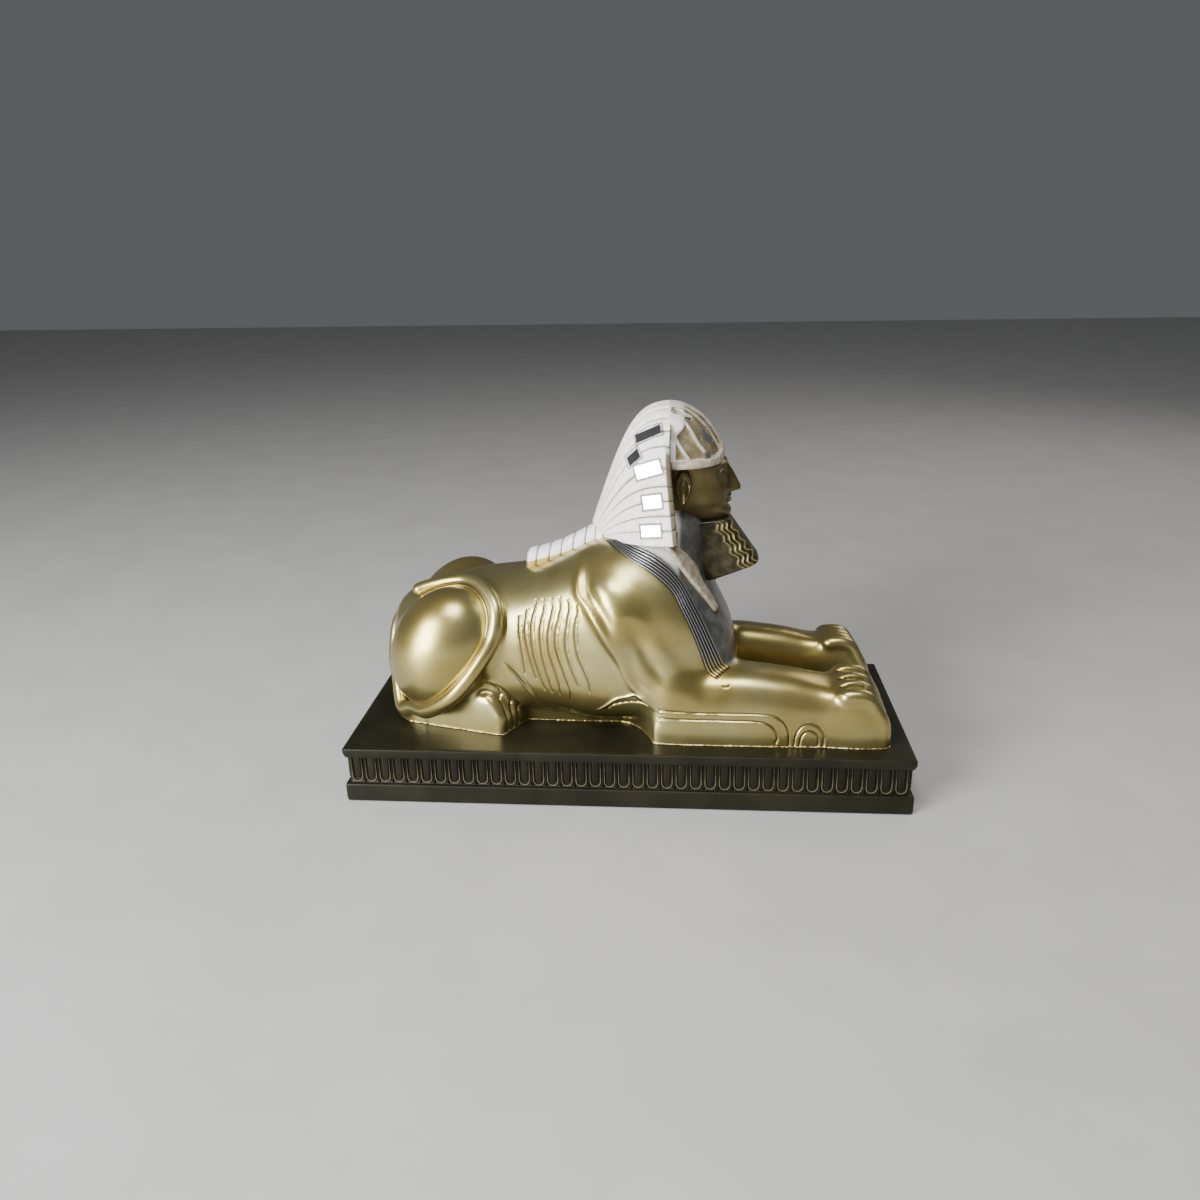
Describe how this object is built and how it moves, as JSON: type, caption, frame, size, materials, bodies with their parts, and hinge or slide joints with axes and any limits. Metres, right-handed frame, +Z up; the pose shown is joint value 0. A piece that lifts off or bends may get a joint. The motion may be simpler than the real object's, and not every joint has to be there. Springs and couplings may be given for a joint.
{
  "type": "sphinx statue",
  "caption": "Recumbent sphinx figurine in gilded cast resin with a striped headcloth set with small mirror tiles, lying on a dark rectangular plinth with a frieze of tongues.",
  "frame": {"origin": "centre of the plinth's underside", "axes": "+Z up; +X the way the sphinx looks, along the plinth's length; +Y to the sphinx's left"},
  "size_m": [0.3, 0.124, 0.2043],
  "materials": {
    "gold_resin": "cast resin in satin gold paint; white headcloth, silver and black mane lines, dark bronze beard",
    "plinth_resin": "cast resin in dark olive-brown paint, rubbed bronze on the raised edges",
    "mirror": "small silvered glass tiles"
  },
  "bodies": {
    "root": {"sphinx": "gold_resin", "plinth": "plinth_resin", "mirror_tile_01": "mirror", "mirror_tile_02": "mirror", "mirror_tile_03": "mirror", "mirror_tile_04": "mirror", "mirror_tile_05": "mirror", "mirror_tile_06": "mirror", "mirror_tile_07": "mirror", "mirror_tile_08": "mirror", "mirror_tile_09": "mirror", "mirror_tile_10": "mirror", "mirror_tile_11": "mirror", "mirror_tile_12": "mirror", "mirror_tile_13": "mirror", "mirror_tile_14": "mirror", "mirror_tile_15": "mirror", "mirror_tile_16": "mirror"}
  },
  "joints": []
}
